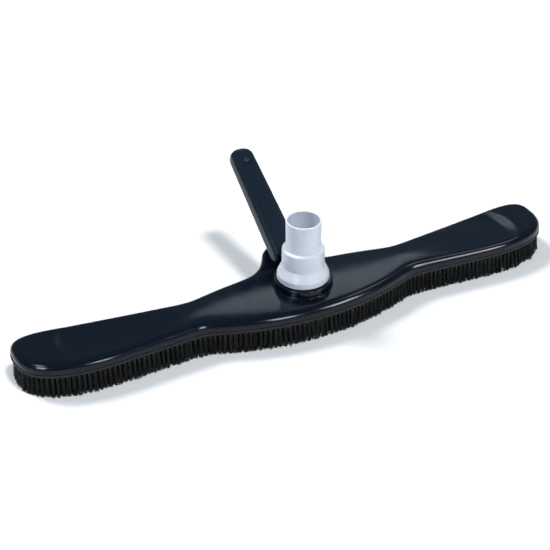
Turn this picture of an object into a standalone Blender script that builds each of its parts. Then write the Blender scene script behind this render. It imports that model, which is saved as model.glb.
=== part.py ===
"""Combination pool wall brush and vacuum head.

A long moulded body with paddle ends carries a full skirt of bristles under its rim. A stepped hose
cuff swivels on a collar in the middle, and a hollow pole handle hinges on a lug behind it.

Units are metres and +Z is up. Sizes are measured from the hose cuff's axis, with +X along the brush
and +Y towards the handle. Everything is parented to one empty, which moves the assembly so that the
world origin is the centre of the whole object's footprint, on the surface that the bristles stand on.
"""

import math

import bmesh
import bpy
from mathutils import Matrix, Vector

# --- Plan of the body: half widths in front of and behind the cuff's axis ---
HALF_LENGTH = 0.2632
CENTRE_FRONT = 0.0403
CENTRE_REAR = 0.0364
WAIST_X = 0.103
WAIST_FRONT = 0.0180
WAIST_REAR = 0.0224
WAIST_BLEND = 0.0030
PADDLE_FRONT = 0.0239
PADDLE_FRONT_X = 0.190
PADDLE_REAR = 0.0399
PADDLE_REAR_X = 0.235
TIP_REAR = 0.0205
TIP_FRONT_POWER = 2.6
TIP_REAR_POWER = 2.9
SPINE_END_X = 0.232
BRISTLE_BREAK_X = 0.210

# --- Heights ---
BRISTLE_LENGTH = 0.0207
SEAM_GAP = 0.0003
PLATE_THICKNESS = 0.0026
BODY_DEPTH = 0.0091
EDGE_RADIUS = 0.0065
BODY_WALL = 0.0028
CENTRE_CROWN = 0.0015
PADDLE_DISH = 0.0012
PLATE_Z = BRISTLE_LENGTH + SEAM_GAP
BODY_Z = PLATE_Z + PLATE_THICKNESS + SEAM_GAP
BODY_TOP = BODY_Z + BODY_DEPTH

# --- Bristle plate, bristles and screws ---
PLATE_LIP = 0.0004
PLATE_RING_WIDTH = 0.0125
PLATE_WEB_WIDTH = 0.0120
BRISTLE_INSET = 0.0014
BRISTLE_BAND = 0.0084
BRISTLE_GAP = 0.0004
SCREW_XS = (0.048, 0.102, 0.165, 0.229)
SCREW_SHANK_RADIUS = 0.0015
SCREW_HEAD_RADIUS = 0.0031
SCREW_HEAD_HEIGHT = 0.0020
SCREW_GRIP = 0.0045
SCREW_CLEARANCE = 0.0003
THREAD_CLEARANCE = 0.00005
BOSS_RADIUS = 0.0036

# --- Hose port: collar on the body, and the cuff that swivels in it ---
COLLAR_RADIUS = 0.0260
COLLAR_BORE = 0.0210
COLLAR_HEIGHT = 0.0084
COLLAR_SKIRT = 0.0031
COLLAR_CHAMFER = 0.0008
WASHER_THICKNESS = 0.0007
CUFF_SMALL_RADIUS = 0.0159
CUFF_SMALL_LENGTH = 0.0278
CUFF_LARGE_RADIUS = 0.0193
CUFF_LARGE_LENGTH = 0.0175
CUFF_FLARE = 0.0070
CUFF_FLANGE_RADIUS = 0.0236
CUFF_FLANGE_THICKNESS = 0.0050
CUFF_BORE = 0.0141
CUFF_EASE = 0.0012
WASHER_SETBACK = 0.0008
CUFF_ROUND = 0.0016
SLEEVE_CLEARANCE = 0.0006
SLEEVE_BORE = 0.0163
SLEEVE_DROP = 0.0038
RING_THICKNESS = 0.0020
RING_GROOVE_DEPTH = 0.0017
RING_OVERLAP = 0.0025
SEAL_RADIUS = 0.00105
SEAL_GROOVE_WIDTH = 0.0030

# --- Handle and its pivot ---
PIVOT_Y = 0.0370
PIVOT_RISE = 0.0138
HANDLE_ANGLE = math.radians(30.6)
HANDLE_REACH = 0.1130
HANDLE_ROOT_HALF_WIDTH = 0.0126
HANDLE_TIP_HALF_WIDTH = 0.0108
HANDLE_ROOT_HALF_DEPTH = 0.0085
HANDLE_TIP_HALF_DEPTH = 0.0073
HANDLE_WALL = 0.0027
HANDLE_CORNER = 0.0038
HANDLE_DOME = 0.0080
HANDLE_FORK_DEPTH = 0.0115
HANDLE_ROOF_UNDERSIDE = 0.0056
HANDLE_ROOF_END = -0.0045
FORK_RELIEF = 0.0002
HANDLE_HOLE_SETBACK = 0.0160
PIN_RADIUS = 0.0025
PIN_HEAD_RADIUS = 0.0042
PIN_HEAD_THICKNESS = 0.0014
PIN_END_SKIN = 0.0012
FIT_CLEARANCE = 0.00005
BUSH_RADIUS = 0.0036
BUSH_FLANGE_RADIUS = 0.0050
BUSH_FLANGE_THICKNESS = 0.0008
LUG_RADIUS = 0.0052
LUG_FLARE = 0.0045
TAIL_START_Y = 0.0305
TAIL_END_Y = 0.0660
TAIL_RISE = 0.0075
TAIL_FLARE = 0.0290
TAIL_TAPER = 0.0170
TAIL_NOSE = 0.0090
TAIL_DEPTH = 0.0085
TAIL_SINK = 0.0004
TAIL_FLARE_POWER = 5
TAIL_NOSE_START = 0.75
TAIL_SQUARENESS = 0.55
TAIL_NOSE_DEPTH = 0.35

# --- Pole clip in the handle's end ---
BUTTON_RADIUS = 0.0029
BUTTON_CLEARANCE = 0.0003
BUTTON_PROTRUSION = 0.0020
BUTTON_FLANGE_RADIUS = 0.0040
BUTTON_FLANGE_THICKNESS = 0.0010
CLIP_THICKNESS = 0.0007
CLIP_HALF_WIDTH = 0.0040
CLIP_LENGTH = 0.0340
CLIP_BEND_RADIUS = 0.0018
CLIP_OVERHANG = 0.0045

# --- Facets ---
COLLAR_STEPS = 36
PIN_STEPS = 16
TIP_STEPS = 7
STATIONS_CENTRE = 10
STATIONS_PADDLE = 9
STATIONS_END = 3


# --- Collections, materials and small mesh helpers ---

def clear_scene():
    for obj in list(bpy.data.objects):
        bpy.data.objects.remove(obj, do_unlink=True)


def new_collection(name):
    collection = bpy.data.collections.new(name)
    bpy.context.scene.collection.children.link(collection)
    return collection


def make_material(name, color, roughness, metallic=0.0):
    material = bpy.data.materials.new(name)
    material.use_nodes = True
    shader = material.node_tree.nodes["Principled BSDF"]
    shader.inputs["Base Color"].default_value = (*color, 1.0)
    shader.inputs["Roughness"].default_value = roughness
    shader.inputs["Metallic"].default_value = metallic
    return material


def mesh_object(name, bm, material=None, smooth=True):
    """Turn a bmesh into an object in the part's collection."""
    bmesh.ops.recalc_face_normals(bm, faces=bm.faces)
    mesh = bpy.data.meshes.new(name)
    bm.to_mesh(mesh)
    bm.free()
    if smooth:
        mesh.shade_smooth()
        mesh.set_sharp_from_angle(angle=math.radians(35))
    obj = bpy.data.objects.new(name, mesh)
    PART.objects.link(obj)
    obj.parent = ROOT
    if material is not None:
        mesh.materials.append(material)
    return obj


def as_operand(obj):
    """Move a tool solid out of the part, so that it only shapes other pieces."""
    PART.objects.unlink(obj)
    TOOLS.objects.link(obj)
    obj.hide_render = True
    obj.display_type = "WIRE"
    return obj


def boolean(obj, operand, operation):
    modifier = obj.modifiers.new(operand.name, "BOOLEAN")
    modifier.operation = operation
    modifier.solver = "EXACT"
    modifier.object = operand


def loft(rings, cap=False):
    """Skin a list of point rings, each with the same number of points."""
    bm = bmesh.new()
    rows = [[bm.verts.new(point) for point in ring] for ring in rings]
    count = len(rows[0])
    for low, high in zip(rows, rows[1:]):
        for i in range(count):
            j = (i + 1) % count
            bm.faces.new((low[i], low[j], high[j], high[i]))
    if cap:
        bm.faces.new(rows[0])
        bm.faces.new(rows[-1])
    bmesh.ops.remove_doubles(bm, verts=bm.verts, dist=1e-6)
    return bm


def prism(points, low, high, axis="Z"):
    """A flat outline swept from low to high along Z, or along X for an outline in (y, z)."""
    if axis == "Z":
        rings = [[(x, y, level) for x, y in points] for level in (low, high)]
    else:
        rings = [[(level, y, z) for y, z in points] for level in (low, high)]
    return loft(rings, cap=True)


def turned(name, profile, steps, material=None):
    """Revolve a closed (radius, z) profile that runs down its outer side first."""
    bm = bmesh.new()
    verts = [bm.verts.new((radius, 0.0, z)) for radius, z in profile]
    on_axis = profile[0][0] == 0.0 and profile[-1][0] == 0.0
    pairs = list(zip(verts, verts[1:]))
    if not on_axis:
        pairs.append((verts[-1], verts[0]))
    for first, second in pairs:
        bm.edges.new((first, second))
    mesh = bpy.data.meshes.new(name)
    bm.to_mesh(mesh)
    bm.free()
    obj = bpy.data.objects.new(name, mesh)
    PART.objects.link(obj)
    obj.parent = ROOT
    screw = obj.modifiers.new("Turn", "SCREW")
    screw.axis = "Z"
    screw.steps = steps
    screw.render_steps = steps
    screw.use_merge_vertices = True
    screw.merge_threshold = 0.00001
    screw.use_smooth_shade = True
    if material is not None:
        mesh.materials.append(material)
    return obj


def cylinder(name, radius, low, high, steps):
    """A plain solid cylinder along Z, as a shaping tool."""
    profile = [(0.0, high), (radius, high), (radius, low), (0.0, low)]
    return as_operand(turned(name, profile, steps))


def arc(centre, radius, start, end, count):
    """Points on an arc in a plane, with angles in degrees."""
    points = []
    for i in range(count + 1):
        angle = math.radians(start + (end - start) * i / count)
        points.append((centre[0] + radius * math.cos(angle), centre[1] + radius * math.sin(angle)))
    return points


# --- Plan outline ---

def smooth_max(a, b, blend):
    overlap = max(blend - abs(a - b), 0.0) / blend
    return max(a, b) + overlap * overlap * blend / 4


def edge_distance(x, centre, waist, paddle, paddle_x, tip, power):
    """Distance from the X axis to one long edge of the body at x."""
    x = abs(x)
    if x >= paddle_x:
        along = min((x - paddle_x) / (HALF_LENGTH - paddle_x), 1.0)
        return tip + (paddle - tip) * (1 - along ** power) ** (1 / power)
    drop = centre - waist
    radius = (WAIST_X ** 2 + drop ** 2) / (2 * drop)
    bulge = centre - radius + math.sqrt(max(radius ** 2 - x ** 2, 0.0))
    slope = (paddle - waist) / (paddle_x - WAIST_X)
    return smooth_max(bulge, waist + slope * (x - WAIST_X), WAIST_BLEND)


def front_y(x):
    return -edge_distance(x, CENTRE_FRONT, WAIST_FRONT, PADDLE_FRONT, PADDLE_FRONT_X,
                          -TIP_REAR, TIP_FRONT_POWER)


def rear_y(x):
    return edge_distance(x, CENTRE_REAR, WAIST_REAR, PADDLE_REAR, PADDLE_REAR_X,
                         TIP_REAR, TIP_REAR_POWER)


def spine_point(x):
    x = max(-SPINE_END_X, min(SPINE_END_X, x))
    return Vector((x, (front_y(x) + rear_y(x)) / 2))


def spread(start, end, count):
    return [start + (end - start) * i / count for i in range(count)]


def stations():
    """Shared x positions from one end of the spine to the other."""
    half = spread(0.0, WAIST_X, STATIONS_CENTRE)
    half += spread(WAIST_X, BRISTLE_BREAK_X, STATIONS_PADDLE)
    half += spread(BRISTLE_BREAK_X, SPINE_END_X, STATIONS_END)
    half.append(SPINE_END_X)
    return [-x for x in reversed(half[1:])] + half


def outline():
    """The body's plan as a closed loop of points, anticlockwise from above."""
    xs = stations()
    reach = HALF_LENGTH - SPINE_END_X
    angles = [math.pi / 2 * i / TIP_STEPS for i in range(1, TIP_STEPS + 1)]
    tip_xs = [SPINE_END_X + reach * math.sin(angle) for angle in angles]
    points = [(x, front_y(x)) for x in xs]
    points += [(x, front_y(x)) for x in tip_xs]
    points += [(x, rear_y(x)) for x in reversed(tip_xs[:-1])]
    points += [(x, rear_y(x)) for x in reversed(xs)]
    points += [(-x, rear_y(x)) for x in tip_xs]
    points += [(-x, front_y(x)) for x in reversed(tip_xs[:-1])]
    return [Vector(point) for point in points]


def normals(points):
    """Outward normals of an anticlockwise closed loop."""
    result = []
    for i in range(len(points)):
        along = points[(i + 1) % len(points)] - points[i - 1]
        result.append(Vector((along.y, -along.x)).normalized())
    return result


def inset_ring(points, inset):
    return [point - normal * inset for point, normal in zip(points, normals(points))]


# --- Body shell ---

def top_rise(x, inward):
    """Height of the top above the rim: crowned in the middle, dished in the paddles."""
    reach = (abs(x) - WAIST_X) / (PADDLE_FRONT_X - WAIST_X)
    wing = max(0.0, min(1.0, reach))
    wing = wing * wing * (3 - 2 * wing)
    rounded = 1 - (1 - inward) ** 2
    return (CENTRE_CROWN * (1 - wing) - PADDLE_DISH * wing) * rounded


def shell_rings(points, offset, edge_radius, round_steps, top_steps):
    """Rings from the spine out over the top, round the edge and down to the seam."""
    top = BODY_TOP - offset
    shoulder = inset_ring(points, offset + edge_radius)
    rings = []
    for step in range(top_steps, 0, -1):
        inward = step / top_steps
        ring = []
        for outer, edge in zip(points, shoulder):
            spine = spine_point(outer.x)
            flat = edge.lerp(spine, inward)
            ring.append((flat.x, flat.y, top + top_rise(flat.x, inward)))
        rings.append(ring)
    for step in range(round_steps, -1, -1):
        angle = math.pi / 2 * step / round_steps
        inset = offset + edge_radius * (1 - math.cos(angle))
        z = top - edge_radius * (1 - math.sin(angle))
        rings.append([(p.x, p.y, z) for p in inset_ring(points, inset)])
    rings.append([(p.x, p.y, BODY_Z) for p in inset_ring(points, offset)])
    return rings


def tail_section(y):
    """Half width and levels of the rear tail at y."""
    along = (y - TAIL_START_Y) / (TAIL_END_Y - TAIL_START_Y)
    half_width = TAIL_NOSE + TAIL_TAPER * (1 - along) + TAIL_FLARE * (1 - along) ** TAIL_FLARE_POWER
    nose = max(0.0, (along - TAIL_NOSE_START) / (1 - TAIL_NOSE_START))
    rounding = math.sqrt(max(1 - nose * nose, 0.0))
    top = BODY_TOP - TAIL_SINK + TAIL_RISE * along
    middle = top - TAIL_DEPTH / 2
    return half_width * rounding, middle, TAIL_DEPTH / 2 * max(rounding, TAIL_NOSE_DEPTH)


def make_tail():
    """A tapering tail that carries the lug and stops the handle from dropping."""
    rings = []
    lengthwise = [0, 0.05, 0.11, 0.18, 0.27, 0.38, 0.5, 0.62, 0.75, 0.86, 0.94, 0.985, 0.998]
    for share in lengthwise:
        y = TAIL_START_Y + (TAIL_END_Y - TAIL_START_Y) * share
        half_width, middle, half_depth = tail_section(y)
        ring = []
        for i in range(16):
            angle = math.tau * (i + 0.5) / 16
            across = math.copysign(abs(math.cos(angle)) ** TAIL_SQUARENESS, math.cos(angle))
            up = math.copysign(abs(math.sin(angle)) ** TAIL_SQUARENESS, math.sin(angle))
            ring.append((half_width * across, y, middle + half_depth * up))
        rings.append(ring)
    return as_operand(mesh_object("tail", loft(rings, cap=True)))


def make_lug():
    """The upright eye between the handle's two ears."""
    pivot_z = BODY_TOP + PIVOT_RISE
    foot_z = BODY_TOP - BODY_WALL / 2
    front = PIVOT_Y - LUG_RADIUS
    rear = PIVOT_Y + LUG_RADIUS
    points = [(front, foot_z)]
    points += [(y, z) for y, z in reversed(arc((PIVOT_Y, pivot_z), LUG_RADIUS, 0, 180, 12))]
    points += [(rear + LUG_FLARE * 0.3, BODY_TOP + PIVOT_RISE * 0.45)]
    points += [(rear + LUG_FLARE, BODY_TOP + PIVOT_RISE * 0.15), (rear + LUG_FLARE, foot_z)]
    return as_operand(mesh_object("lug", prism(points, -LUG_HALF_WIDTH, LUG_HALF_WIDTH, "X")))


def screw_places():
    return [(sign * x, spine_point(x).y) for x in SCREW_XS for sign in (-1, 1)]


def boss_profile(x):
    """A hollow screw boss from just above the seam to the middle of the body's wall."""
    pilot_radius = SCREW_SHANK_RADIUS + THREAD_CLEARANCE
    pilot_end = SCREW_TIP + SCREW_CLEARANCE
    low = BODY_Z + SEAM_GAP
    top = BODY_TOP + top_rise(x, 1.0) - BODY_WALL / 2
    return [(0.0, top), (BOSS_RADIUS, top), (BOSS_RADIUS, low), (pilot_radius, low),
            (pilot_radius, pilot_end), (0.0, pilot_end)]


def cross_cylinder(name, radius, half_length, steps):
    """A cylinder along X through the handle's pivot, as a shaping tool."""
    tool = cylinder(name, radius, -half_length, half_length, steps)
    tool.rotation_euler = (0.0, math.pi / 2, 0.0)
    tool.location = (0.0, PIVOT_Y, BODY_TOP + PIVOT_RISE)
    return tool


def make_body():
    points = outline()
    outer = shell_rings(points, 0.0, EDGE_RADIUS, 4, 3)
    inner = shell_rings(points, BODY_WALL, EDGE_RADIUS - BODY_WALL, 2, 2)
    body = mesh_object("body_shell", loft(inner + outer[::-1]), NAVY_PLASTIC)

    collar_low = BODY_TOP - COLLAR_SKIRT
    collar_profile = [(0.0, COLLAR_TOP), (COLLAR_RADIUS - COLLAR_CHAMFER, COLLAR_TOP),
                      (COLLAR_RADIUS, COLLAR_TOP - COLLAR_CHAMFER), (COLLAR_RADIUS, collar_low),
                      (0.0, collar_low)]
    collar = as_operand(turned("collar", collar_profile, COLLAR_STEPS))
    boolean(body, collar, "UNION")
    boolean(body, make_tail(), "UNION")
    boolean(body, make_lug(), "UNION")
    for i, (x, y) in enumerate(screw_places()):
        boss = as_operand(turned(f"boss_{i}", boss_profile(x), PIN_STEPS))
        boss.location = (x, y, 0.0)
        boolean(body, boss, "UNION")
    port = cylinder("port", COLLAR_BORE, BODY_Z, COLLAR_TOP + 0.001, COLLAR_STEPS)
    port.rotation_euler = (0.0, 0.0, math.pi / COLLAR_STEPS)
    boolean(body, port, "DIFFERENCE")
    eye = cross_cylinder("eye", BUSH_RADIUS + FIT_CLEARANCE, LUG_HALF_WIDTH + 0.001, PIN_STEPS)
    boolean(body, eye, "DIFFERENCE")


# --- Bristle plate, bristles and plate screws ---

def window_outline(start, end, count=8):
    """Plan of one suction window between two webs of the plate."""
    xs = spread(start, end, count) + [end]
    front = [(x, front_y(x) + PLATE_RING_WIDTH) for x in xs]
    rear = [(x, rear_y(x) - PLATE_RING_WIDTH) for x in reversed(xs)]
    return front + rear


def make_plate():
    points = inset_ring(outline(), -PLATE_LIP)
    bm = prism([tuple(p) for p in points], PLATE_Z, PLATE_Z + PLATE_THICKNESS)
    plate = mesh_object("bristle_plate", bm, GREY_PLASTIC)
    half_web = PLATE_WEB_WIDTH / 2
    webs = [-x for x in reversed(SCREW_XS)] + list(SCREW_XS)
    for i, (left, right) in enumerate(zip(webs, webs[1:])):
        bm = prism(window_outline(left + half_web, right - half_web), PLATE_Z - 0.001,
                   PLATE_Z + PLATE_THICKNESS + 0.001)
        boolean(plate, as_operand(mesh_object(f"window_{i}", bm)), "DIFFERENCE")
    for i, (x, y) in enumerate(screw_places()):
        hole = cylinder(f"screw_hole_{i}", SCREW_SHANK_RADIUS + SCREW_CLEARANCE, PLATE_Z - 0.001,
                        PLATE_Z + PLATE_THICKNESS + 0.001, PIN_STEPS)
        hole.location = (x, y, 0.0)
        boolean(plate, hole, "DIFFERENCE")


def bristle_ranges():
    """Names and first and last outline points of each run of bristles."""
    half = STATIONS_CENTRE + STATIONS_PADDLE + STATIONS_END
    last = 2 * half
    tip = 2 * TIP_STEPS - 1
    rear = last + tip + 1
    loop = 2 * (last + 1 + tip)
    end, waist = STATIONS_END, STATIONS_END + STATIONS_PADDLE
    ranges = {
        "bristles_front_left_paddle": (end, waist),
        "bristles_front_left_centre": (waist, half),
        "bristles_front_right_centre": (half, last - waist),
        "bristles_front_right_paddle": (last - waist, last - end),
        "bristles_right_tip_front": (last - end, last + TIP_STEPS),
        "bristles_right_tip_rear": (last + TIP_STEPS, rear + end),
        "bristles_rear_right_paddle": (rear + end, rear + waist),
        "bristles_rear_right_centre": (rear + waist, rear + half),
        "bristles_rear_left_centre": (rear + half, rear + last - waist),
        "bristles_rear_left_paddle": (rear + last - waist, rear + last - end),
        "bristles_left_tip_rear": (rear + last - end, rear + last + TIP_STEPS),
        "bristles_left_tip_front": (rear + last + TIP_STEPS, loop + end),
    }
    return ranges


def pulled_back(points):
    """Shorten an open run of points by half the gap at both ends."""
    shorter = list(points)
    shorter[0] = shorter[0] + (shorter[1] - shorter[0]).normalized() * BRISTLE_GAP / 2
    shorter[-1] = shorter[-1] + (shorter[-2] - shorter[-1]).normalized() * BRISTLE_GAP / 2
    return shorter


def make_bristles():
    points = outline()
    outer = inset_ring(points, BRISTLE_INSET)
    inner = inset_ring(points, BRISTLE_INSET + BRISTLE_BAND)
    for name, (first, last) in bristle_ranges().items():
        picks = [i % len(points) for i in range(first, last + 1)]
        near = pulled_back([outer[i] for i in picks])
        far = pulled_back([inner[i] for i in picks])
        loop = [tuple(p) for p in near + far[::-1]]
        mesh_object(name, prism(loop, 0.0, BRISTLE_LENGTH), BLACK_BRISTLE, smooth=False)


def make_screws():
    head_top = PLATE_Z - SCREW_CLEARANCE
    head_low = head_top - SCREW_HEAD_HEIGHT
    crown = SCREW_HEAD_RADIUS * 0.55
    profile = [(0.0, SCREW_TIP), (SCREW_SHANK_RADIUS * 0.5, SCREW_TIP),
               (SCREW_SHANK_RADIUS, SCREW_TIP - SCREW_SHANK_RADIUS), (SCREW_SHANK_RADIUS, head_top),
               (SCREW_HEAD_RADIUS, head_top), (SCREW_HEAD_RADIUS, head_top - SCREW_HEAD_HEIGHT * 0.6),
               (crown, head_low), (0.0, head_low)]
    for i, (x, y) in enumerate(screw_places()):
        screw = turned(f"plate_screw_{i + 1}", profile, PIN_STEPS, STEEL)
        screw.location = (x, y, 0.0)


# --- Hose cuff and what holds it in the collar ---

def make_cuff():
    flare_low = CUFF_Z + CUFF_FLANGE_THICKNESS
    flare_top = flare_low + CUFF_FLARE
    step_z = flare_top + CUFF_LARGE_LENGTH
    mouth_z = step_z + CUFF_SMALL_LENGTH
    lip = CUFF_ROUND / 3
    sleeve = COLLAR_BORE - SLEEVE_CLEARANCE
    groove_radius = sleeve - RING_GROOVE_DEPTH
    seal_floor = COLLAR_BORE - 2 * SEAL_RADIUS - SLEEVE_CLEARANCE
    outside = [(CUFF_SMALL_RADIUS - lip, mouth_z), (CUFF_SMALL_RADIUS, mouth_z - lip),
               (CUFF_SMALL_RADIUS, step_z)]
    shoulder = (CUFF_LARGE_RADIUS - CUFF_ROUND, step_z - CUFF_ROUND)
    outside += reversed(arc(shoulder, CUFF_ROUND, 0, 90, 3))
    outside += [(CUFF_LARGE_RADIUS, flare_top),
                (CUFF_LARGE_RADIUS + CUFF_EASE, flare_top - CUFF_FLARE * 0.45),
                (CUFF_FLANGE_RADIUS - CUFF_EASE, flare_low + CUFF_FLARE * 0.12),
                (CUFF_FLANGE_RADIUS, flare_low - CUFF_EASE), (CUFF_FLANGE_RADIUS, CUFF_Z)]
    neck = [(sleeve, CUFF_Z), (sleeve, SEAL_Z + SEAL_GROOVE_WIDTH / 2),
            (seal_floor, SEAL_Z + SEAL_GROOVE_WIDTH / 2), (seal_floor, SEAL_Z - SEAL_GROOVE_WIDTH / 2),
            (sleeve, SEAL_Z - SEAL_GROOVE_WIDTH / 2), (sleeve, RING_TOP + SEAM_GAP),
            (groove_radius, RING_TOP + SEAM_GAP), (groove_radius, RING_LOW - SEAM_GAP),
            (sleeve, RING_LOW - SEAM_GAP), (sleeve, SLEEVE_LOW)]
    inside = [(SLEEVE_BORE, SLEEVE_LOW), (SLEEVE_BORE, CUFF_Z + 0.003), (CUFF_BORE, flare_top),
              (CUFF_BORE, mouth_z)]
    turned("hose_swivel", outside + neck + inside, COLLAR_STEPS, WHITE_PLASTIC)


def make_cuff_fittings():
    washer_low = COLLAR_TOP + SEAM_GAP
    washer = [(CUFF_FLANGE_RADIUS - WASHER_SETBACK, washer_low + WASHER_THICKNESS),
              (CUFF_FLANGE_RADIUS - WASHER_SETBACK, washer_low),
              (COLLAR_BORE + SEAM_GAP, washer_low),
              (COLLAR_BORE + SEAM_GAP, washer_low + WASHER_THICKNESS)]
    turned("swivel_washer", washer, COLLAR_STEPS, WHITE_PLASTIC)

    groove_radius = COLLAR_BORE - SLEEVE_CLEARANCE - RING_GROOVE_DEPTH
    ring = [(COLLAR_BORE + RING_OVERLAP, RING_TOP), (COLLAR_BORE + RING_OVERLAP, RING_LOW),
            (groove_radius + SEAM_GAP, RING_LOW), (groove_radius + SEAM_GAP, RING_TOP)]
    turned("swivel_retaining_ring", ring, COLLAR_STEPS, BLACK_ACETAL)

    middle = COLLAR_BORE - SLEEVE_CLEARANCE / 2 - SEAL_RADIUS
    seal = [(r, z) for r, z in reversed(arc((middle, SEAL_Z), SEAL_RADIUS, -90, 225, 7))]
    turned("swivel_seal", seal, COLLAR_STEPS, BLACK_RUBBER)


# --- Handle, pivot and pole clip ---

def rounded_section(half_width, half_depth, corner, y):
    """A rounded rectangle across the handle at y, as a ring of 24 points."""
    corner = min(corner, half_width * 0.98, half_depth * 0.98)
    ring = []
    for centre_x, centre_z, start in ((1, 1, 0), (-1, 1, 90), (-1, -1, 180), (1, -1, 270)):
        centre = (centre_x * (half_width - corner), centre_z * (half_depth - corner))
        ring += [(x, y, z) for x, z in arc(centre, corner, start, start + 90, 5)]
    return ring


def handle_half_sizes(y):
    share = max(0.0, min(1.0, y / (HANDLE_REACH - HANDLE_DOME)))
    half_width = HANDLE_ROOT_HALF_WIDTH + (HANDLE_TIP_HALF_WIDTH - HANDLE_ROOT_HALF_WIDTH) * share
    half_depth = HANDLE_ROOT_HALF_DEPTH + (HANDLE_TIP_HALF_DEPTH - HANDLE_ROOT_HALF_DEPTH) * share
    return half_width, half_depth


def handle_rings():
    """Sections of the handle from its round ears to its domed tip, along local +Y."""
    rings = []
    for angle in (82, 65, 45, 25):
        y = -HANDLE_ROOT_HALF_DEPTH * math.sin(math.radians(angle))
        half_depth = HANDLE_ROOT_HALF_DEPTH * math.cos(math.radians(angle))
        rings.append(rounded_section(HANDLE_ROOT_HALF_WIDTH, half_depth, HANDLE_CORNER, y))
    dome_start = HANDLE_REACH - HANDLE_DOME
    for share in (0.0, 0.25, 0.5, 0.75, 1.0):
        y = dome_start * share
        half_width, half_depth = handle_half_sizes(y)
        rings.append(rounded_section(half_width, half_depth, HANDLE_CORNER, y))
    half_width, half_depth = handle_half_sizes(dome_start)
    for angle in (20, 40, 58, 74, 86):
        scale = math.cos(math.radians(angle)) ** 0.8
        y = dome_start + HANDLE_DOME * math.sin(math.radians(angle))
        rings.append(rounded_section(half_width * scale, half_depth * scale, HANDLE_CORNER * 1.4, y))
    return rings


def at_pivot(obj):
    """Put a handle piece on the pivot, turned up to the handle's angle."""
    obj.location = (0.0, PIVOT_Y, BODY_TOP + PIVOT_RISE)
    obj.rotation_euler = (HANDLE_ANGLE, 0.0, 0.0)
    return obj


def slot_tool(name, end_y, top_z):
    """A box between the handle's ears, open at the root and underneath."""
    half_width = HANDLE_ROOT_HALF_WIDTH - HANDLE_WALL + FORK_RELIEF
    beyond = HANDLE_ROOT_HALF_DEPTH * 2
    corners = [(-half_width, -beyond), (half_width, -beyond), (half_width, end_y), (-half_width, end_y)]
    return at_pivot(as_operand(mesh_object(name, prism(corners, -beyond, top_z), smooth=False)))


def make_handle():
    handle = at_pivot(mesh_object("pole_handle", loft(handle_rings(), cap=True), NAVY_PLASTIC))
    core = []
    cavity_end = HANDLE_REACH - HANDLE_DOME / 2 - HANDLE_WALL
    for y in (-HANDLE_ROOT_HALF_DEPTH * 1.2, HANDLE_FORK_DEPTH, cavity_end * 0.7, cavity_end):
        half_width, half_depth = handle_half_sizes(y)
        core.append(rounded_section(half_width - HANDLE_WALL, half_depth - HANDLE_WALL,
                                    HANDLE_CORNER - HANDLE_WALL / 2, y))
    boolean(handle, at_pivot(as_operand(mesh_object("handle_core", loft(core, cap=True)))), "DIFFERENCE")

    boolean(handle, slot_tool("handle_fork", HANDLE_FORK_DEPTH, HANDLE_ROOF_UNDERSIDE), "DIFFERENCE")
    boolean(handle, slot_tool("handle_fork_end", HANDLE_ROOF_END, HANDLE_ROOT_HALF_DEPTH * 2), "DIFFERENCE")

    bore = cross_cylinder("handle_pivot_bore", PIN_RADIUS + FIT_CLEARANCE, HANDLE_ROOT_HALF_WIDTH, PIN_STEPS)
    bore.location.x = PIN_END_SKIN
    boolean(handle, bore, "DIFFERENCE")
    hole = cylinder("button_hole", BUTTON_RADIUS + BUTTON_CLEARANCE, -0.02, 0.02, PIN_STEPS)
    at_pivot(hole)
    hole.location += Matrix.Rotation(HANDLE_ANGLE, 3, "X") @ Vector((0.0, BUTTON_Y, 0.0))
    boolean(handle, hole, "DIFFERENCE")


def make_pivot():
    """Pin from the right ear into the left one, and a flanged bush from each side of the lug."""
    pivot = (0.0, PIVOT_Y, BODY_TOP + PIVOT_RISE)
    end = HANDLE_ROOT_HALF_WIDTH
    head_low = end + SEAM_GAP
    blind_end = PIN_END_SKIN + SEAM_GAP - end
    pin_profile = [(0.0, head_low + PIN_HEAD_THICKNESS),
                   (PIN_HEAD_RADIUS * 0.8, head_low + PIN_HEAD_THICKNESS),
                   (PIN_HEAD_RADIUS, head_low + PIN_HEAD_THICKNESS * 0.6), (PIN_HEAD_RADIUS, head_low),
                   (PIN_RADIUS, head_low), (PIN_RADIUS, blind_end), (0.0, blind_end)]
    pin = turned("pivot_pin", pin_profile, PIN_STEPS, STEEL)
    pin.rotation_euler = (0.0, math.pi / 2, 0.0)
    pin.location = pivot

    flange_low = LUG_HALF_WIDTH + SEAM_GAP / 3
    bush_profile = [(BUSH_FLANGE_RADIUS, flange_low + BUSH_FLANGE_THICKNESS),
                    (BUSH_FLANGE_RADIUS, flange_low), (BUSH_RADIUS, flange_low),
                    (BUSH_RADIUS, SEAM_GAP / 2), (PIN_RADIUS + FIT_CLEARANCE, SEAM_GAP / 2),
                    (PIN_RADIUS + FIT_CLEARANCE, flange_low + BUSH_FLANGE_THICKNESS)]
    for side, turn in (("right", math.pi / 2), ("left", -math.pi / 2)):
        bush = turned(f"pivot_bush_{side}", bush_profile, PIN_STEPS, BLACK_ACETAL)
        bush.rotation_euler = (0.0, turn, 0.0)
        bush.location = pivot


def inner_half_depth():
    """Half the height of the handle's hollow where the buttons sit."""
    return handle_half_sizes(BUTTON_Y)[1] - HANDLE_WALL


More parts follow.
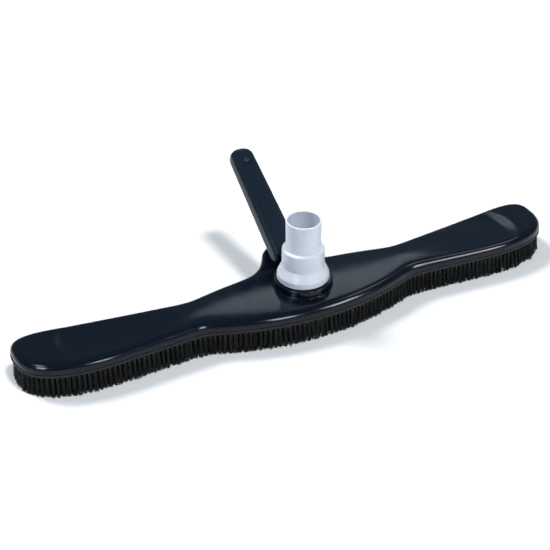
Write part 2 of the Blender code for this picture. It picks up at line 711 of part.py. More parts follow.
def make_buttons():
    flange_top = inner_half_depth() - SEAM_GAP
    outside = handle_half_sizes(BUTTON_Y)[1]
    top = outside + BUTTON_PROTRUSION
    profile = [(0.0, top), (BUTTON_RADIUS * 0.5, top - 0.0003), (BUTTON_RADIUS * 0.87, top - 0.0010),
               (BUTTON_RADIUS, top - 0.0018), (BUTTON_RADIUS, flange_top),
               (BUTTON_FLANGE_RADIUS, flange_top),
               (BUTTON_FLANGE_RADIUS, flange_top - BUTTON_FLANGE_THICKNESS),
               (0.0, flange_top - BUTTON_FLANGE_THICKNESS)]
    for side, flip in (("upper", 0.0), ("lower", math.pi)):
        button = at_pivot(turned(f"clip_button_{side}", profile, PIN_STEPS, BLACK_ACETAL))
        button.location += Matrix.Rotation(HANDLE_ANGLE, 3, "X") @ Vector((0.0, BUTTON_Y, 0.0))
        button.rotation_euler = (HANDLE_ANGLE + flip, 0.0, 0.0)


def make_clip():
    """A bent spring strip whose two arms press the buttons outwards."""
    arm_z = inner_half_depth() - SEAM_GAP - BUTTON_FLANGE_THICKNESS - SEAM_GAP - CLIP_THICKNESS / 2
    bend_y = BUTTON_Y - CLIP_LENGTH
    path = [(BUTTON_Y + CLIP_OVERHANG, arm_z), (BUTTON_Y - CLIP_OVERHANG, arm_z)]
    path += arc((bend_y, 0.0), CLIP_BEND_RADIUS, 90, 270, 8)
    path += [(BUTTON_Y - CLIP_OVERHANG, -arm_z), (BUTTON_Y + CLIP_OVERHANG, -arm_z)]
    bm = bmesh.new()
    rows = [[bm.verts.new((side * CLIP_HALF_WIDTH, y, z)) for y, z in path] for side in (-1, 1)]
    for i in range(len(path) - 1):
        bm.faces.new((rows[0][i], rows[0][i + 1], rows[1][i + 1], rows[1][i]))
    clip = at_pivot(mesh_object("clip_spring", bm, STEEL))
    solid = clip.modifiers.new("Strip", "SOLIDIFY")
    solid.thickness = CLIP_THICKNESS
    solid.offset = 0.0
    solid.use_even_offset = True


def centre_on_footprint():
    """Move the whole assembly so that its footprint is centred on the world origin."""
    bpy.context.view_layer.update()
    depsgraph = bpy.context.evaluated_depsgraph_get()
    ys = []
    for obj in PART.objects:
        if obj.type == "MESH":
            evaluated = obj.evaluated_get(depsgraph)
            ys += [(evaluated.matrix_world @ vert.co).y for vert in evaluated.data.vertices]
    ROOT.location.y = -(min(ys) + max(ys)) / 2


# --- Places that several pieces share ---
LUG_HALF_WIDTH = HANDLE_ROOT_HALF_WIDTH - HANDLE_WALL - BUSH_FLANGE_THICKNESS - SEAM_GAP
COLLAR_TOP = BODY_TOP + COLLAR_HEIGHT
CUFF_Z = COLLAR_TOP + WASHER_THICKNESS + 2 * SEAM_GAP
RING_TOP = BODY_TOP - COLLAR_SKIRT - SEAM_GAP
RING_LOW = RING_TOP - RING_THICKNESS
SLEEVE_LOW = RING_LOW - SEAM_GAP - SLEEVE_DROP / 2
SEAL_Z = BODY_TOP + COLLAR_HEIGHT * 0.35
SCREW_TIP = BODY_Z + SCREW_GRIP
BUTTON_Y = HANDLE_REACH - HANDLE_HOLE_SETBACK

clear_scene()
PART = new_collection("pool_wall_brush")
TOOLS = new_collection("shaping_tools")
ROOT = bpy.data.objects.new("assembly_frame", None)
PART.objects.link(ROOT)

NAVY_PLASTIC = make_material("navy_plastic", (0.012, 0.015, 0.022), 0.22)
GREY_PLASTIC = make_material("grey_plastic", (0.040, 0.043, 0.046), 0.55)
BLACK_BRISTLE = make_material("black_bristle", (0.012, 0.013, 0.013), 0.60)
WHITE_PLASTIC = make_material("white_plastic", (0.78, 0.82, 0.86), 0.35)
BLACK_ACETAL = make_material("black_acetal", (0.015, 0.015, 0.016), 0.45)
BLACK_RUBBER = make_material("black_rubber", (0.010, 0.010, 0.010), 0.75)
STEEL = make_material("stainless_steel", (0.55, 0.56, 0.57), 0.30, 1.0)

make_body()
make_plate()
make_bristles()
make_screws()
make_cuff()
make_cuff_fittings()
make_handle()
make_pivot()
make_buttons()
make_clip()
centre_on_footprint()
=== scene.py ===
"""Looks of a pool wall brush: moulded body, bristle skirt, swivelling hose cuff and pole handle.

Pieces are drawn in millimetres from the hose cuff's axis, with +Y towards the handle, and then put
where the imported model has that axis.
"""
import math
import random

import bmesh
import bpy
import numpy as np
from mathutils import Matrix, Vector
from mathutils.geometry import delaunay_2d_cdt


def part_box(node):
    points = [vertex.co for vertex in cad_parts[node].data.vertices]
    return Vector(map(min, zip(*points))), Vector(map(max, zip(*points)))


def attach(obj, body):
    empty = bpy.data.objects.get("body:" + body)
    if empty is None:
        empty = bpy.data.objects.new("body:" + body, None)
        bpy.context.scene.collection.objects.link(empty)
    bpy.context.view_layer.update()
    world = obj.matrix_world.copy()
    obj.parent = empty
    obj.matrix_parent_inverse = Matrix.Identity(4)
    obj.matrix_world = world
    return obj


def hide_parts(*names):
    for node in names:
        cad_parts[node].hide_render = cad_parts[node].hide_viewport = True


MM = 0.001
SEED = 7

# Plan of the body
HALF_LENGTH = 263.2
CENTRE_FRONT, CENTRE_REAR = 40.3, 36.4
WAIST_X, WAIST_FRONT, WAIST_REAR, WAIST_BLEND = 103.0, 18.0, 22.4, 3.0
PADDLE_FRONT, PADDLE_FRONT_X = 23.9, 190.0
PADDLE_REAR, PADDLE_REAR_X = 39.9, 235.0
TIP_REAR, TIP_FRONT_POWER, TIP_REAR_POWER = 20.5, 2.6, 2.9
SPINE_END_X = 232.0
TAIL_START_Y, TAIL_END_Y = 30.5, 66.0
TAIL_NOSE, TAIL_TAPER, TAIL_FLARE, TAIL_FLARE_POWER = 9.0, 17.0, 29.0, 5
TAIL_NOSE_START = 0.75
TAIL_JOIN_SEARCH = (31.5, 36.0, 0.05)
SPINE_STEP = 1.5
RELAX_ROUNDS = 90
RELAX_END_X, RELAX_FADE_X = 246.0, 20.0
RELAX_END_Y, RELAX_FADE_Y = 58.0, 6.0

# Section of the body
EDGE_RADIUS = 6.5
BODY_DEPTH = 9.1
BODY_WALL = 2.8
CENTRE_CROWN = 1.5
PADDLE_DISH = 1.3
DISH_END_X, DISH_END_BOW, DISH_END_Y, DISH_FADE = 219.0, 0.012, 8.0, 13.0
TAIL_RISE = 7.1
TAIL_UNDER_RISE = 8.6
TAIL_RISE_X, TAIL_RISE_FADE = 42.0, 18.0
INNER_ROUND = 3.0
COLLAR_RADIUS, COLLAR_BORE, COLLAR_HEIGHT, COLLAR_SKIRT = 26.0, 21.0, 8.4, 3.1

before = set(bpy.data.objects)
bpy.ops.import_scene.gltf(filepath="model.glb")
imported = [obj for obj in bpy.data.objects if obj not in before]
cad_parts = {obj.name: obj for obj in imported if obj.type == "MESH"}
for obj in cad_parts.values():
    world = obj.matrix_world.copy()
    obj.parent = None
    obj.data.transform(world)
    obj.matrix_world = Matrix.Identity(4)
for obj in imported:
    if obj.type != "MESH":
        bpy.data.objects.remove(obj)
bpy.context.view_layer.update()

cuff_low, cuff_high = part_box("hose_swivel")
PORT = Vector(((cuff_low.x + cuff_high.x) / 2, (cuff_low.y + cuff_high.y) / 2, 0.0))
BODY_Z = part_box("body_shell")[0].z / MM
PLATE_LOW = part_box("bristle_plate")[0].z / MM
PLATE_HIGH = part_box("bristle_plate")[1].z / MM
BODY_TOP = BODY_Z + BODY_DEPTH
COLLAR_TOP = BODY_TOP + COLLAR_HEIGHT
PIVOT = Vector((0.0, 37.0, BODY_TOP + 13.8))
HANDLE_ANGLE = math.radians(30.6)


# --- Materials ---

def new_material(name):
    material = bpy.data.materials.new(name)
    material.use_nodes = True
    nodes, links = material.node_tree.nodes, material.node_tree.links
    shader = nodes["Principled BSDF"]
    coords = nodes.new("ShaderNodeTexCoord")
    return material, nodes, links, shader, coords


def noise(nodes, links, coords, scale, detail=3.0, rough=0.5, stretch=None):
    """A noise texture in object space; stretch scales each axis first."""
    texture = nodes.new("ShaderNodeTexNoise")
    texture.inputs["Scale"].default_value = scale
    texture.inputs["Detail"].default_value = detail
    texture.inputs["Roughness"].default_value = rough
    if stretch:
        mapping = nodes.new("ShaderNodeMapping")
        mapping.inputs["Scale"].default_value = stretch
        links.new(coords.outputs["Object"], mapping.inputs["Vector"])
        links.new(mapping.outputs["Vector"], texture.inputs["Vector"])
    else:
        links.new(coords.outputs["Object"], texture.inputs["Vector"])
    return texture.outputs["Fac"]


def spread_value(nodes, links, fac, low, high):
    spread = nodes.new("ShaderNodeMapRange")
    spread.inputs["From Min"].default_value = 0.3
    spread.inputs["From Max"].default_value = 0.7
    spread.inputs["To Min"].default_value = low
    spread.inputs["To Max"].default_value = high
    links.new(fac, spread.inputs["Value"])
    return spread.outputs["Result"]


def spread_colour(nodes, links, fac, low, high):
    ramp = nodes.new("ShaderNodeValToRGB")
    ramp.color_ramp.elements[0].position = 0.3
    ramp.color_ramp.elements[1].position = 0.7
    ramp.color_ramp.elements[0].color = (*low, 1.0)
    ramp.color_ramp.elements[1].color = (*high, 1.0)
    links.new(fac, ramp.inputs["Fac"])
    return ramp.outputs["Color"]


def bump(nodes, links, fac, distance, before=None):
    node = nodes.new("ShaderNodeBump")
    node.inputs["Strength"].default_value = 1.0
    node.inputs["Distance"].default_value = distance
    links.new(fac, node.inputs["Height"])
    if before is not None:
        links.new(before, node.inputs["Normal"])
    return node.outputs["Normal"]


def plastic(name, dark, light, rough, wave, grain, ior=1.49):
    """Moulded plastic: slight colour flow, uneven gloss, faint waves and a fine grain."""
    material, nodes, links, shader, coords = new_material(name)
    flow = noise(nodes, links, coords, 18.0, 4.0, 0.55, (0.5, 1.0, 1.0))
    gloss = noise(nodes, links, coords, 55.0, 5.0, 0.6)
    links.new(spread_colour(nodes, links, flow, dark, light), shader.inputs["Base Color"])
    links.new(spread_value(nodes, links, gloss, *rough), shader.inputs["Roughness"])
    waves = bump(nodes, links, noise(nodes, links, coords, 26.0, 1.0), wave)
    fine = bump(nodes, links, noise(nodes, links, coords, 1400.0, 2.0), grain, waves)
    links.new(fine, shader.inputs["Normal"])
    shader.inputs["IOR"].default_value = ior
    return material


def bristle_material():
    """Nylon filaments, each a little lighter or darker than the next."""
    material, nodes, links, shader, coords = new_material("bristle_nylon")
    geometry = nodes.new("ShaderNodeNewGeometry")
    ramp = nodes.new("ShaderNodeValToRGB")
    ramp.color_ramp.elements[0].color = (0.0028, 0.0034, 0.0030, 1.0)
    ramp.color_ramp.elements[1].color = (0.0160, 0.0185, 0.0165, 1.0)
    links.new(geometry.outputs["Random Per Island"], ramp.inputs["Fac"])
    links.new(ramp.outputs["Color"], shader.inputs["Base Color"])
    rough = spread_value(nodes, links, noise(nodes, links, coords, 300.0), 0.36, 0.52)
    links.new(rough, shader.inputs["Roughness"])
    shader.inputs["IOR"].default_value = 1.35
    return material


def steel_material():
    material, nodes, links, shader, coords = new_material("brushed_stainless")
    streaks = noise(nodes, links, coords, 90.0, 4.0, 0.7, (1.0, 14.0, 14.0))
    colour = spread_colour(nodes, links, streaks, (0.46, 0.47, 0.48), (0.66, 0.67, 0.68))
    links.new(colour, shader.inputs["Base Color"])
    links.new(spread_value(nodes, links, streaks, 0.22, 0.38), shader.inputs["Roughness"])
    links.new(bump(nodes, links, streaks, 0.00002), shader.inputs["Normal"])
    shader.inputs["Metallic"].default_value = 1.0
    return material


NAVY = plastic("navy_gloss_plastic", (0.0028, 0.0046, 0.0095), (0.0046, 0.0072, 0.0140),
               (0.10, 0.17), 0.00012, 0.000004, ior=1.32)
HANDLE = plastic("navy_satin_plastic", (0.0085, 0.0155, 0.0250), (0.0115, 0.0205, 0.0320),
                 (0.14, 0.21), 0.00008, 0.000006, ior=1.19)
GREY = plastic("grey_matte_plastic", (0.012, 0.013, 0.014), (0.018, 0.019, 0.020),
               (0.48, 0.62), 0.00006, 0.00002, ior=1.3)
WHITE = plastic("white_gloss_plastic", (0.74, 0.78, 0.84), (0.78, 0.82, 0.88),
                (0.24, 0.33), 0.00006, 0.000005)
BLACK = plastic("black_matte_plastic", (0.008, 0.008, 0.009), (0.014, 0.014, 0.015),
                (0.42, 0.55), 0.00004, 0.00001)
RUBBER = plastic("black_seal_rubber", (0.008, 0.008, 0.008), (0.013, 0.013, 0.013),
                 (0.6, 0.75), 0.00004, 0.00002)
BRISTLE = bristle_material()
STEEL = steel_material()


# --- Mesh helpers ---

def new_piece(name, bm, material, angle=32.0, turn=None, offset=None):
    """Make an object from a bmesh in millimetres, turned, moved and put on the cuff's axis."""
    bmesh.ops.remove_doubles(bm, verts=bm.verts, dist=0.002)
    bmesh.ops.recalc_face_normals(bm, faces=bm.faces)
    mesh = bpy.data.meshes.new(name)
    bm.to_mesh(mesh)
    bm.free()
    mesh.materials.append(material)
    mesh.shade_smooth()
    mesh.set_sharp_from_angle(angle=math.radians(angle))
    obj = bpy.data.objects.new(name, mesh)
    bpy.context.scene.collection.objects.link(obj)
    place = Matrix.Translation(PORT) @ Matrix.Scale(MM, 4)
    if offset is not None:
        place = place @ Matrix.Translation(offset)
    if turn is not None:
        place = place @ turn
    mesh.transform(place)
    return obj


def stand_in(obj, node, body):
    """Put a piece in place of a CAD node, on a body."""
    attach(obj, body)
    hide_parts(node)


def soften(obj, angle):
    obj.data.shade_smooth()
    obj.data.set_sharp_from_angle(angle=math.radians(angle))


def rod(radius, high, low, steps):
    """A plain cylinder along Z, used as a cutting tool."""
    return lathe([(0.0, high), (radius, high), (radius, low), (0.0, low)], steps)


def cut(obj, tools, operation="DIFFERENCE"):
    """Apply booleans with each tool object, and remove the tools."""
    for tool in tools:
        modifier = obj.modifiers.new("cut", "BOOLEAN")
        modifier.solver = "EXACT"
        modifier.operation = operation
        modifier.object = tool
    apply_modifiers(obj)
    for tool in tools:
        bpy.data.objects.remove(tool, do_unlink=True)


def apply_modifiers(obj):
    depsgraph = bpy.context.evaluated_depsgraph_get()
    mesh = bpy.data.meshes.new_from_object(obj.evaluated_get(depsgraph))
    obj.modifiers.clear()
    obj.data = mesh


def skin(bm, rings, cap=False):
    """Join closed rings of equal counts with quads."""
    rows = [[bm.verts.new(point) for point in ring] for ring in rings]
    count = len(rows[0])
    for low, high in zip(rows, rows[1:]):
        for i in range(count):
            j = (i + 1) % count
            bm.faces.new((low[i], low[j], high[j], high[i]))
    if cap:
        bm.faces.new(rows[0])
        bm.faces.new(rows[-1])


def lathe(profile, steps):
    """Revolve a closed profile of (radius, z) points round Z."""
    bm = bmesh.new()
    turns = [math.tau * i / steps for i in range(steps)]
    rings = [[(r * math.cos(a), r * math.sin(a), z) for a in turns] for r, z in profile]
    rings.append(rings[0])
    skin(bm, rings)
    bmesh.ops.remove_doubles(bm, verts=bm.verts, dist=0.001)
    bmesh.ops.dissolve_degenerate(bm, edges=bm.edges, dist=0.0005)
    return bm


def rounded(profile, radii, steps=5):
    """Round the corners of a closed (r, z) profile; radii gives one radius for each point."""
    result = []
    count = len(profile)
    for i, radius in enumerate(radii):
        corner = Vector(profile[i])
        before, after = Vector(profile[i - 1]), Vector(profile[(i + 1) % count])
        to_before, to_after = (before - corner), (after - corner)
        if radius <= 0.0 or min(to_before.length, to_after.length) < 1e-6:
            result.append(tuple(corner))
            continue
        u, v = to_before.normalized(), to_after.normalized()
        half = u.angle(v) / 2
        reach = radius / math.tan(half)
        centre = corner + (u + v).normalized() * radius / math.sin(half)
        start, end = corner + u * reach - centre, corner + v * reach - centre
        sweep = start.angle(end)
        side = 1.0 if start.x * end.y - start.y * end.x > 0 else -1.0
        for k in range(steps + 1):
            a = side * sweep * k / steps
            turned = Vector((start.x * math.cos(a) - start.y * math.sin(a),
                             start.x * math.sin(a) + start.y * math.cos(a)))
            result.append(tuple(centre + turned))
    return result


# --- Plan outline ---

def smooth_max(a, b, width):
    """The larger of two values, blended where they cross."""
    overlap = max(width - abs(a - b), 0.0) / width
    return max(a, b) + overlap * overlap * width / 4


def edge_distance(x, centre, waist, paddle, paddle_x, tip, power):
    """An edge's distance from the axis: arc to the waist, straight to the paddle, oval tip."""
    x = abs(x)
    if x >= paddle_x:
        along = min((x - paddle_x) / (HALF_LENGTH - paddle_x), 1.0)
        return tip + (paddle - tip) * (1 - along ** power) ** (1 / power)
    drop = centre - waist
    radius = (WAIST_X ** 2 + drop ** 2) / (2 * drop)
    bulge = centre - radius + math.sqrt(max(radius ** 2 - x ** 2, 0.0))
    slope = (paddle - waist) / (paddle_x - WAIST_X)
    return smooth_max(bulge, waist + slope * (x - WAIST_X), WAIST_BLEND)


def front_y(x):
    return -edge_distance(x, CENTRE_FRONT, WAIST_FRONT, PADDLE_FRONT, PADDLE_FRONT_X,
                          -TIP_REAR, TIP_FRONT_POWER)


def rear_y(x):
    return edge_distance(x, CENTRE_REAR, WAIST_REAR, PADDLE_REAR, PADDLE_REAR_X,
                         TIP_REAR, TIP_REAR_POWER)


def tail_half_width(y):
    along = (y - TAIL_START_Y) / (TAIL_END_Y - TAIL_START_Y)
    half_width = TAIL_NOSE + TAIL_TAPER * (1 - along) + TAIL_FLARE * (1 - along) ** TAIL_FLARE_POWER
    nose = min(max(0.0, (along - TAIL_NOSE_START) / (1 - TAIL_NOSE_START)), 1.0)
    return half_width * math.sqrt(1 - nose * nose)


def resample(points, step):
    """Points at an even spacing along a closed loop."""
    loop = np.vstack([points, points[:1]])
    lengths = np.hypot(*np.diff(loop, axis=0).T)
    along = np.concatenate([[0.0], np.cumsum(lengths)])
    count = int(round(along[-1] / step))
    at = np.linspace(0.0, along[-1], count, endpoint=False)
    return np.stack([np.interp(at, along, loop[:, k]) for k in (0, 1)], axis=1)


def relax(points, rounds, weight):
    """Smooth a closed loop, each point by its own weight."""
    for _ in range(rounds):
        middle = (np.roll(points, 1, 0) + np.roll(points, -1, 0)) / 2
        points = points + 0.5 * (middle - points) * weight[:, None]
    return points


def raw_outline(with_tail):
    """The body's plan, anticlockwise from the front centre."""
    reach = HALF_LENGTH - SPINE_END_X
    spine = list(np.arange(0.0, SPINE_END_X, SPINE_STEP))
    tip = [SPINE_END_X + reach * math.sin(a) for a in np.linspace(0.0, math.pi / 2, 40)]
    half = [(x, front_y(x)) for x in spine + tip]
    back = [(x, rear_y(x)) for x in reversed(spine + tip[:-1])]
    if with_tail:
        join = next(y for y in np.arange(*TAIL_JOIN_SEARCH) if rear_y(tail_half_width(y)) < y)
        back = [p for p in back if p[0] > tail_half_width(join) + 0.5]
        levels = join + (TAIL_END_Y - join) * np.sin(np.linspace(0.0, math.pi / 2, 60))
        back += [(tail_half_width(y), y) for y in levels]
    half += back
    if with_tail:
        left = [(-x, y) for x, y in reversed(half[1:]) if x > 1e-6]
    else:
        left = [(-x, y) for x, y in reversed(half[1:-1])]
    return np.array(half + left)


def outline(with_tail, step):
    """The plan with its waists and tail join smoothed; the tips and the tail's nose stay exact."""
    points = resample(raw_outline(with_tail), 1.0)
    weight = np.clip((RELAX_END_X - np.abs(points[:, 0])) / RELAX_FADE_X, 0.0, 1.0)
    nose = np.clip((RELAX_END_Y - points[:, 1]) / RELAX_FADE_Y, 0.0, 1.0)
    points = relax(points, RELAX_ROUNDS, weight * nose)
    return resample(points, step)


def outward(points):
    """Unit normals of an anticlockwise loop."""
    along = np.roll(points, -1, 0) - np.roll(points, 1, 0)
    normal = np.stack([along[:, 1], -along[:, 0]], axis=1)
    return normal / np.linalg.norm(normal, axis=1)[:, None]


def inset(points, distance):
    return points - outward(points) * distance


# --- Heights of the body ---

def smoothstep(value):
    value = np.clip(value, 0.0, 1.0)
    return value * value * (3 - 2 * value)


LEVELS = np.linspace(0.0, SPINE_END_X, 400)
SPINE_Y = np.array([(front_y(x) + rear_y(x)) / 2 for x in LEVELS])
HALF_Y = np.array([(rear_y(x) - front_y(x)) / 2 for x in LEVELS])
TIP_ANGLES = np.radians(np.linspace(-90, 90, 91))


def tip_reaches():
    """Distance from the spine's end to the rim, for directions round the tip."""
    centre = (SPINE_END_X, SPINE_Y[-1])
    loop = resample(raw_outline(False), 0.8)
    loop = loop[loop[:, 0] >= SPINE_END_X - 0.5]
    angle = np.arctan2(loop[:, 1] - centre[1], loop[:, 0] - centre[0])
    reach = np.hypot(loop[:, 0] - centre[0], loop[:, 1] - centre[1])
    order = np.argsort(angle)
    return np.interp(TIP_ANGLES, angle[order], reach[order])


TIP_REACH = tip_reaches()


def across(x, y):
    """0 on the spine and 1 at the rim."""
    x = np.abs(x)
    spine = np.interp(x, LEVELS, SPINE_Y)
    share = np.abs(y - spine) / np.interp(x, LEVELS, HALF_Y)
    angle = np.arctan2(y - SPINE_Y[-1], np.maximum(x - SPINE_END_X, 1e-6))
    radial = np.hypot(x - SPINE_END_X, y - SPINE_Y[-1]) / np.interp(angle, TIP_ANGLES, TIP_REACH)
    return np.clip(np.where(x > SPINE_END_X, radial, share), 0.0, 1.0)


def tail_share(x, y, start):
    """How far the tail has risen: 0 where it starts and 1 at its end."""
    near = 1 - smoothstep((np.abs(x) - TAIL_RISE_X) / TAIL_RISE_FADE)
    along = np.clip((y - start) / (TAIL_END_Y - start), 0.0, 1.1)
    return near * along * along * (1.6 - 0.6 * along)


def top_height(x, y):
    """Level of the top skin, before its edge is rounded."""
    x, y = np.asarray(x, float), np.asarray(y, float)
    wing = smoothstep((np.abs(x) - WAIST_X) / (PADDLE_FRONT_X - WAIST_X))
    share = across(x, y)
    dish_end = DISH_END_X - DISH_END_BOW * (y - DISH_END_Y) ** 2
    dish = wing * (1 - smoothstep((np.abs(x) - dish_end) / DISH_FADE))
    crown = CENTRE_CROWN * (1 - wing) * (1 - share ** 2)
    hollow = PADDLE_DISH * dish * (1 - share ** 2)
    return BODY_TOP + crown - hollow + TAIL_RISE * tail_share(x, y, TAIL_START_Y)


def low_height(x, y):
    """Level of the underside: flat on the seam, rising under the tail."""
    x, y = np.asarray(x, float), np.asarray(y, float)
    return BODY_Z + TAIL_UNDER_RISE * tail_share(x, y, CENTRE_REAR + 1.0)


# --- Body shell ---

def nearest(points, loop):
    """Distance from each point to a loop's points."""
    gaps = points[:, None, :] - loop[None, :, :]
    return np.sqrt((gaps ** 2).sum(axis=2)).min(axis=1)


def inside(points, loop):
    """Which points lie inside a closed loop."""
    x, y = points[:, 0][:, None], points[:, 1][:, None]
    a, b = loop, np.roll(loop, -1, 0)
    crosses = (a[:, 1] > y) != (b[:, 1] > y)
    rise = np.where(np.abs(b[:, 1] - a[:, 1]) < 1e-12, 1e-12, b[:, 1] - a[:, 1])
    at = a[:, 0] + (y - a[:, 1]) / rise * (b[:, 0] - a[:, 0])
    return (crosses & (x < at)).sum(axis=1) % 2 == 1


def fill(bm, outer, hole, height, spacing):
    """Triangles between two loops, on a height field."""
    low, high = outer.min(axis=0), outer.max(axis=0)
    rows = np.arange(low[1], high[1], spacing * 0.866)
    grid = []
    for k, y in enumerate(rows):
        xs = np.arange(low[0] + (k % 2) * spacing / 2, high[0], spacing)
        grid += [(x, y) for x in xs]
    grid = np.array(grid)
    grid = grid[inside(grid, outer) & ~inside(grid, hole)]
    grid = grid[(nearest(grid, outer) > spacing * 0.6) & (nearest(grid, hole) > spacing * 0.6)]
    points = np.vstack([outer, hole, grid]) if len(grid) else np.vstack([outer, hole])
    first, second = len(outer), len(hole)
    edges = [(i, (i + 1) % first) for i in range(first)]
    edges += [(first + i, first + (i + 1) % second) for i in range(second)]
    flat, _, faces, *_ = delaunay_2d_cdt([Vector(p) for p in points], edges, [], 1, 1e-5)
    flat = np.array([tuple(v) for v in flat])
    levels = height(flat[:, 0], flat[:, 1])
    middles = np.array([flat[list(f)].mean(axis=0) for f in faces])
    keep = inside(middles, outer) & ~inside(middles, hole)
    verts = [bm.verts.new((p[0], p[1], z)) for p, z in zip(flat, levels)]
    for face, good in zip(faces, keep):
        if good:
            bm.faces.new([verts[i] for i in face])


def circle(radius, count=144):
    turns = np.linspace(0.0, math.tau, count, endpoint=False)
    return np.stack([radius * np.cos(turns), radius * np.sin(turns)], axis=1)


def level_ring(loop, z):
    return [(x, y, z) for x, y in loop]


def raised_ring(loop, levels):
    return [(x, y, z) for (x, y), z in zip(loop, levels)]


def outer_wall(bm, rim):
    """The rounded edge and the rim down to the seam; gives back its first and last loops."""
    steps = 12
    rings = []
    for k in range(steps + 1):
        angle = math.pi / 2 * k / steps
        ring = inset(rim, EDGE_RADIUS * (1 - math.sin(angle)))
        drop = EDGE_RADIUS * (1 - math.cos(angle))
        rings.append(raised_ring(ring, top_height(ring[:, 0], ring[:, 1]) - drop))
    under = low_height(rim[:, 0], rim[:, 1])
    soft = 0.35
    rings.append(raised_ring(rim, under + soft))
    rings.append(raised_ring(inset(rim, soft * 0.3), under + soft * 0.3))
    edge = inset(rim, soft)
    rings.append(raised_ring(edge, low_height(edge[:, 0], edge[:, 1])))
    skin(bm, rings)
    return np.array(rings[0])[:, :2], edge


def collar_wall(foot, fillet):
    """Rings of the collar: up from its fillet, over its rounded top and down its bore."""
    foot_levels = top_height(foot[:, 0], foot[:, 1])
    rings = [raised_ring(foot, foot_levels)]
    for a in (30, 60, 90):
        radius = COLLAR_RADIUS + fillet * (1 - math.sin(math.radians(a)))
        up = fillet * (1 - math.cos(math.radians(a)))
        rings.append(raised_ring(circle(radius), foot_levels + up))
    top_round, bore_round = 0.9, 0.5
    wall = []
    for a in (0, 22, 45, 68, 90):
        turn = math.radians(a)
        wall.append((COLLAR_RADIUS - top_round * (1 - math.cos(turn)),
                     COLLAR_TOP - top_round * (1 - math.sin(turn))))
    skirt_end = BODY_TOP - COLLAR_SKIRT
    wall += [(COLLAR_BORE + bore_round, COLLAR_TOP), (COLLAR_BORE, COLLAR_TOP - bore_round),
             (COLLAR_BORE, skirt_end), (COLLAR_RADIUS, skirt_end)]
    return rings + [level_ring(circle(radius), z) for radius, z in wall]


def ceiling(x, y):
    return top_height(x, y) - BODY_WALL


def inner_wall(bm, plan):
    """The cavity's side, from its rounded top edge down to the seam; gives back its last loop."""
    steps = 4
    rings = []
    for k in range(steps + 1):
        angle = math.pi / 2 * k / steps
        ring = inset(plan, BODY_WALL + INNER_ROUND * (1 - math.sin(angle)))
        levels = ceiling(ring[:, 0], ring[:, 1]) - INNER_ROUND * (1 - math.cos(angle))
        rings.append(raised_ring(ring, levels))
    lip = inset(plan, BODY_WALL)
    rings.append(level_ring(lip, BODY_Z))
    skin(bm, rings)
    return lip


def make_body():
    bm = bmesh.new()
    shoulder, edge = outer_wall(bm, outline(True, 1.7))
    fillet = 0.8
    foot = circle(COLLAR_RADIUS + fillet)
    fill(bm, shoulder, foot, top_height, 2.4)
    collar = collar_wall(foot, fillet)

    plan = outline(False, 2.6)
    throat = circle(COLLAR_RADIUS)
    fill(bm, inset(plan, BODY_WALL + INNER_ROUND), throat, ceiling, 4.5)
    collar.append(raised_ring(throat, ceiling(throat[:, 0], throat[:, 1])))
    skin(bm, collar)
    lip = inner_wall(bm, plan)
    fill(bm, edge, lip, low_height, 4.0)

    bmesh.ops.remove_doubles(bm, verts=bm.verts, dist=0.01)
    body = new_piece("moulded_body", bm, NAVY)
    cut(body, [make_lug()], "UNION")
    soften(body, 38)
    stand_in(body, "body_shell", "brush_head")


def make_lug():
    """The pivot lug behind the collar, with its bore along X."""
    radius, half_width, flare, soft = 5.2, 8.8, 4.5, 0.6
    back, front = PIVOT.y + radius, PIVOT.y - radius
    foot = BODY_TOP - BODY_WALL / 2
    points = []
    for k in range(33):
        a = math.pi * k / 32
        points.append((PIVOT.y - radius * math.cos(a), PIVOT.z + radius * math.sin(a)))
    points += [(back + flare * 0.18, PIVOT.z - 8.2), (back + flare * 0.5, PIVOT.z - 11.0),
               (back + flare, PIVOT.z - 13.0), (back + flare, foot), (front, foot)]
    loop = np.array(points)[::-1]
    sections = [(-half_width, soft), (-half_width + soft * 0.3, soft * 0.3),
                (-half_width + soft, 0.0), (half_width - soft, 0.0),
                (half_width - soft * 0.3, soft * 0.3), (half_width, soft)]
    bm = bmesh.new()
    skin(bm, [[(x, y, z) for y, z in inset(loop, depth)] for x, depth in sections], cap=True)
    lug = new_piece("lug_tool", bm, NAVY)
    turn = Matrix.Rotation(math.pi / 2, 4, "Y")
    cut(lug, [new_piece("lug_bore", rod(3.65, 20.0, -20.0, 48), NAVY, turn=turn, offset=PIVOT)])
    return lug


# --- Bristle plate and tufts ---

SCREW_XS = (48.0, 102.0, 165.0, 229.0)
WEB = 12.0
RING_WIDTH = 12.5


def spine_y(x):
    return float(np.interp(abs(x), LEVELS, SPINE_Y))


def window_loop(left, right):
    """One suction window of the plate, between two screw webs."""
    xs = np.linspace(left, right, 40)
    front = [(x, front_y(x) + RING_WIDTH) for x in xs]
    back = [(x, rear_y(x) - RING_WIDTH) for x in reversed(xs)]
    return np.array(front + back)


